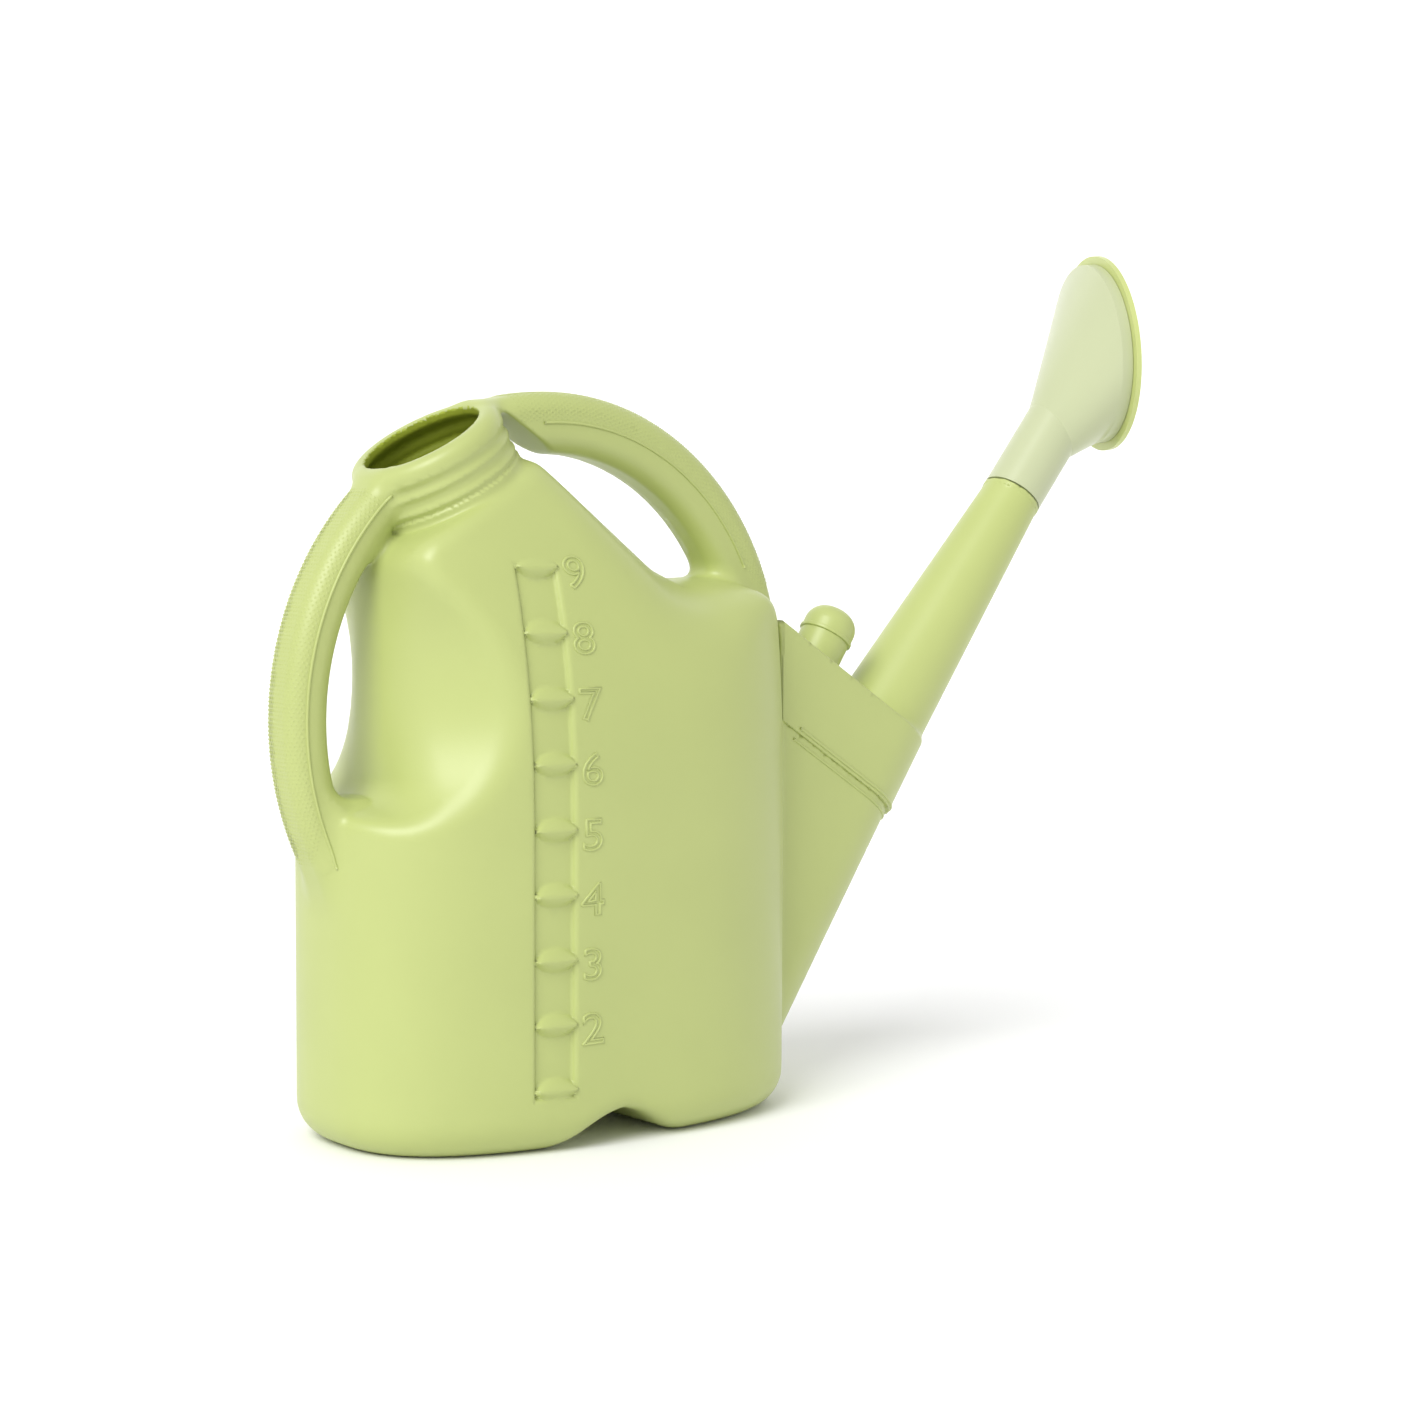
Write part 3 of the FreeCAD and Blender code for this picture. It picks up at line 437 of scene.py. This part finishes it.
def add_beads(name, field, paths, radius):
    """Round beads that follow paths over a surface."""
    sides = 8
    points, faces = [], []
    for path in paths:
        path = settle(field, path)
        normals = slope_of(field, path, 0.4)
        normals /= np.linalg.norm(normals, axis=1)[:, None]
        run = np.gradient(path, axis=0)
        across = np.cross(run, normals)
        across /= np.linalg.norm(across, axis=1)[:, None]
        first = len(points)
        for turn in range(sides):
            angle = 2 * math.pi * turn / sides
            points.extend(path + radius * (math.cos(angle) * across + math.sin(angle) * normals))
        count = len(path)
        for turn in range(sides):
            near, far = first + turn * count, first + (turn + 1) % sides * count
            for index in range(count - 1):
                faces.append((near + index, near + index + 1, far + index + 1, far + index))
        for end in (0, count - 1):
            ring = [first + turn * count + end for turn in range(sides)]
            faces.append(tuple(ring if end else ring[::-1]))
    return add_mesh(name, points, faces)


def grip_paths(grip, start, stop, wrap):
    angles = np.radians(np.linspace(start, stop, 90))
    return [grip_points(grip, angles, np.full(len(angles), side)) for side in (-wrap, wrap)]


def joint_path(rise, proud):
    """Line along both flanks and round the nose at one height out of the joint."""
    centre = OUTLET_NOSE - OUTLET_HALF
    half = OUTLET_HALF + proud
    turns = np.radians(np.linspace(-90, 90, 60))
    flank = np.linspace(12.0, centre - 1.0, 30)
    along = np.concatenate([flank, centre + half * np.cos(turns), flank[::-1]])
    side = np.full(len(flank), half)
    y = np.concatenate([-side, half * np.sin(turns), side])
    return np.stack([
        along * math.sin(SPOUT_PITCH) + rise * math.cos(SPOUT_PITCH),
        y,
        rise * math.sin(SPOUT_PITCH) - along * math.cos(SPOUT_PITCH)], axis=1)


def near_flank(x, z):
    """Y of the tank's near side at a place on it, found by halving."""
    outside = np.full(len(x), -TANK_HALF_WIDTH - 8.0)
    inside = np.zeros(len(x))
    for _ in range(24):
        middle = (outside + inside) / 2
        is_out = tank_field(x, middle, z) > 0
        outside = np.where(is_out, middle, outside)
        inside = np.where(is_out, inside, middle)
    return outside


def add_numeral(litre):
    """Outlined raised numeral that follows the flank below its mark."""
    curve = bpy.data.curves.new("numeral", "FONT")
    curve.body = str(litre)
    curve.size = NUMERAL_HEIGHT * 1.4
    curve.fill_mode = "NONE"
    curve.bevel_depth = NUMERAL_LINE
    curve.bevel_resolution = 1
    curve.resolution_u = 4
    text = bpy.data.objects.new("numeral", curve)
    bpy.context.scene.collection.objects.link(text)
    bpy.context.view_layer.update()
    outline = bpy.data.meshes.new_from_object(text)
    bpy.data.objects.remove(text)
    local = np.array([vertex.co[:] for vertex in outline.vertices])
    x = NUMERAL_X + NUMERAL_WIDEN * local[:, 0]
    z = litre * LITRE_PITCH - NUMERAL_DROP + local[:, 1]
    y = near_flank(x, z) - local[:, 2]
    faces = [tuple(face.vertices) for face in outline.polygons]
    bpy.data.meshes.remove(outline)
    return add_mesh(f"numeral_{litre}", np.stack([x, y, z], axis=1), faces)


outlet_line = joint_path(JOINT_RISE - OUTLET_BEAD_BELOW, 0.0)
shoulder_line = joint_path(JOINT_RISE + SHOULDER_BEAD_ABOVE, SHOULDER_OVERLAP)
details = [
    add_dots("rear_grip_dots", REAR_GRIP, 100, 215, 17.0),
    add_dots("top_grip_dots", TOP_GRIP, 20, 100, 24.0),
    add_beads("rear_grip_beads", can_field, grip_paths(REAR_GRIP, 128, 208, 19.0), 0.8),
    add_beads("top_grip_beads", can_field, grip_paths(TOP_GRIP, 26, 94, 26.0), 0.8),
    add_beads("outlet_joint_bead", can_field, [outlet_line], 0.8),
    add_beads("shoulder_joint_bead", spout_field, [shoulder_line], 0.9),
]
details += [add_numeral(litre) for litre in range(2, 10)]


# ------------------------------------------------------------ materials

def satin_plastic(name, colour, roughness):
    material = bpy.data.materials.new(name)
    material.use_nodes = True
    nodes = material.node_tree.nodes
    links = material.node_tree.links
    shader = nodes["Principled BSDF"]
    shader.inputs["Roughness"].default_value = roughness
    coordinates = nodes.new("ShaderNodeTexCoord")
    mottle = nodes.new("ShaderNodeTexNoise")
    mottle.inputs["Scale"].default_value = 14.0
    ramp = nodes.new("ShaderNodeValToRGB")
    ramp.color_ramp.elements[0].color = (*[channel * 0.95 for channel in colour], 1)
    ramp.color_ramp.elements[1].color = (*[channel * 1.04 for channel in colour], 1)
    grain = nodes.new("ShaderNodeTexNoise")
    grain.inputs["Scale"].default_value = 1400.0
    bump = nodes.new("ShaderNodeBump")
    bump.inputs["Strength"].default_value = 0.12
    bump.inputs["Distance"].default_value = 0.0002
    links.new(coordinates.outputs["Object"], mottle.inputs["Vector"])
    links.new(coordinates.outputs["Object"], grain.inputs["Vector"])
    links.new(mottle.outputs["Fac"], ramp.inputs["Fac"])
    links.new(ramp.outputs["Color"], shader.inputs["Base Color"])
    links.new(grain.outputs["Fac"], bump.inputs["Height"])
    links.new(bump.outputs["Normal"], shader.inputs["Normal"])
    return material


def dress(piece, material):
    piece.data.materials.clear()
    piece.data.materials.append(material)


def shade_inside(piece):
    """Gives the faces that line the cavity the second material, a darker copy of the tank green
    that paints the shade inside the cavity.
    """
    centres = np.array([face.center[:] for face in piece.data.polygons]) / MM
    lining = np.abs(cavity_field(*centres.T)) < 0.4
    piece.data.polygons.foreach_set("material_index", lining.astype(int))


GREEN = (0.46, 0.52, 0.185)
# Painted shade: the cavity lining is the tank's own plastic, given a darker green to stand in for
# the shade inside the hollow.
shaded_inside_green = satin_plastic("shaded_inside_green", (0.33, 0.40, 0.03), 0.5)
tank_green = satin_plastic("tank_green", GREEN, 0.38)
rose_green = satin_plastic("rose_green", (0.50, 0.54, 0.33), 0.30)
face_green = satin_plastic("face_green", (0.54, 0.60, 0.22), 0.35)
rubber = satin_plastic("seal_rubber", (0.03, 0.03, 0.03), 0.6)
dress(can, tank_green)
can.data.materials.append(shaded_inside_green)
shade_inside(can)
for detail in details:
    dress(detail, tank_green)
dress(spout, tank_green)
for node, material in (
        ("rose_post", tank_green), ("rose_body", rose_green), ("rose_face", face_green),
        ("rose_seal", rubber), ("spout_gasket", rubber)):
    dress(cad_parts[node], material)


# ------------------------------------------------------------ stage

CAMERA_HEADING = -35.35


def add_backdrop():
    """White floor that curves up into a wall behind the can."""
    near, bend, curve, top, half = -6.0, 3.0, 1.5, 5.0, 9.0
    profile = [(near, 0.0)]
    for degrees in range(0, 91, 6):
        angle = math.radians(degrees)
        profile.append((bend + curve * math.sin(angle), curve * (1 - math.cos(angle))))
    profile.append((bend + curve, top))
    heading = math.radians(90.0 + CAMERA_HEADING)
    ahead = Vector((math.cos(heading), math.sin(heading), 0))
    aside = Vector((-math.sin(heading), math.cos(heading), 0))
    points, faces = [], []
    for distance, height in profile:
        for side in (-half, half):
            points.append(ahead * distance + aside * side + Vector((0, 0, height)))
    for index in range(len(profile) - 1):
        first = 2 * index
        faces.append((first, first + 2, first + 3, first + 1))
    mesh = bpy.data.meshes.new("backdrop")
    mesh.from_pydata(points, [], faces)
    mesh.polygons.foreach_set("use_smooth", [True] * len(faces))
    backdrop = bpy.data.objects.new("backdrop", mesh)
    bpy.context.scene.collection.objects.link(backdrop)
    material = bpy.data.materials.new("backdrop_white")
    material.use_nodes = True
    shader = material.node_tree.nodes["Principled BSDF"]
    shader.inputs["Base Color"].default_value = (0.95, 0.95, 0.95, 1)
    shader.inputs["Roughness"].default_value = 0.9
    mesh.materials.append(material)


def add_sun(name, place, strength, softness):
    """Broad soft light that shines from a place towards the origin."""
    data = bpy.data.lights.new(name, "SUN")
    data.energy = strength
    data.angle = math.radians(softness)
    light = bpy.data.objects.new(name, data)
    light.location = place
    light.rotation_euler = (-Vector(place)).to_track_quat("-Z", "Y").to_euler()
    bpy.context.scene.collection.objects.link(light)


def add_camera():
    data = bpy.data.cameras.new("camera")
    data.lens = 78.41
    data.sensor_width = 36.0
    data.shift_x = 0.1135
    data.shift_y = 0.0018
    camera = bpy.data.objects.new("camera", data)
    camera.location = (-0.9007, -1.2697, 0.3329)
    camera.rotation_euler = (math.radians(85.531), 0.0, math.radians(CAMERA_HEADING))
    bpy.context.scene.collection.objects.link(camera)
    bpy.context.scene.camera = camera


add_backdrop()
add_camera()
add_sun("key", (-1.9, -0.9, 1.8), 2.3, 35)
world = bpy.data.worlds.new("studio")
world.use_nodes = True
world.node_tree.nodes["Background"].inputs["Color"].default_value = (1, 1, 1, 1)
world.node_tree.nodes["Background"].inputs["Strength"].default_value = 0.66
bpy.context.scene.world = world
bpy.context.scene.view_settings.view_transform = "Standard"
